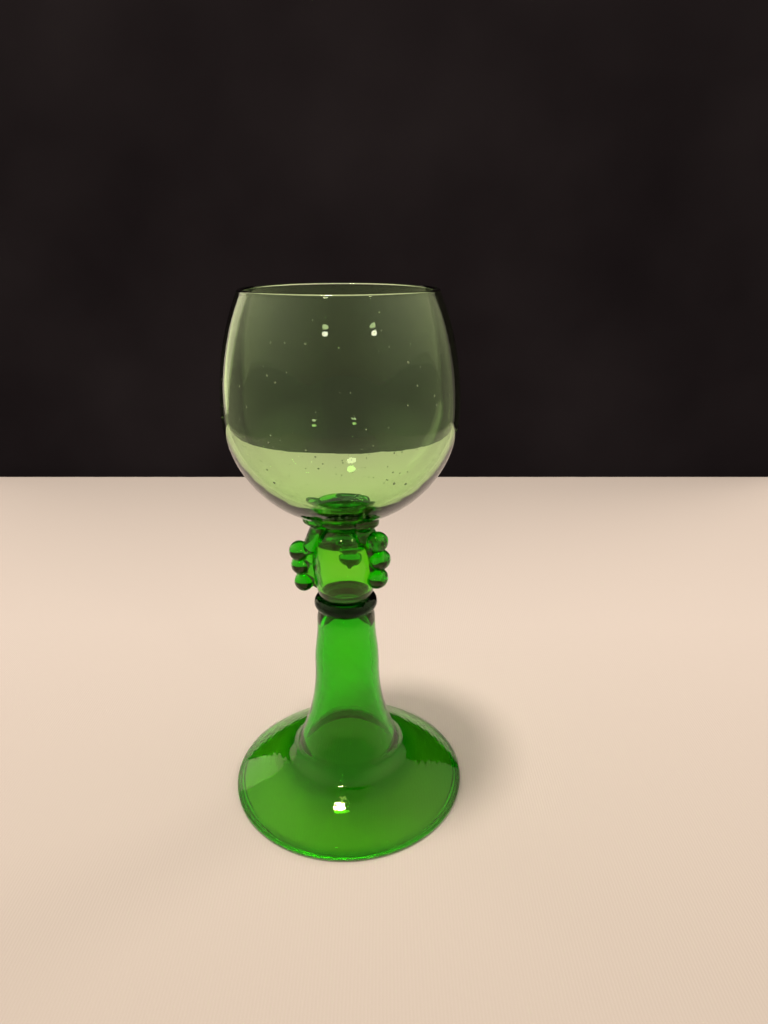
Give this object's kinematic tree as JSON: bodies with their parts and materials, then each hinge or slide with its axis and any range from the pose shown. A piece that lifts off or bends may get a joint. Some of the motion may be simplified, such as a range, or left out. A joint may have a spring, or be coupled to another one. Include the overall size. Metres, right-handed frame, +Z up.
{
  "type": "roemer glass",
  "caption": "Stemmed wine glass with a pale green rounded bowl, a hollow knop with pinched trails, a collar ring and a hollow green stem on a bell foot.",
  "frame": {"origin": "middle of the ring on which the foot stands, on the table", "axes": "+Z up along the axis of the glass, -Y towards the viewer of the picture, +X to the viewer's right"},
  "size_m": [0.076, 0.076, 0.16],
  "materials": {
    "bowl_glass": "clear pale green, fire-polished",
    "green_glass": "clear deep green, fire-polished",
    "ring_glass": "dense dark green, fire-polished"
  },
  "bodies": {
    "root": {"bowl": "bowl_glass", "seat_disc": "green_glass", "knop": "green_glass", "trail_left": "green_glass", "trail_right": "green_glass", "trail_rear": "green_glass", "collar_ring": "ring_glass", "foot": "green_glass"}
  },
  "joints": []
}
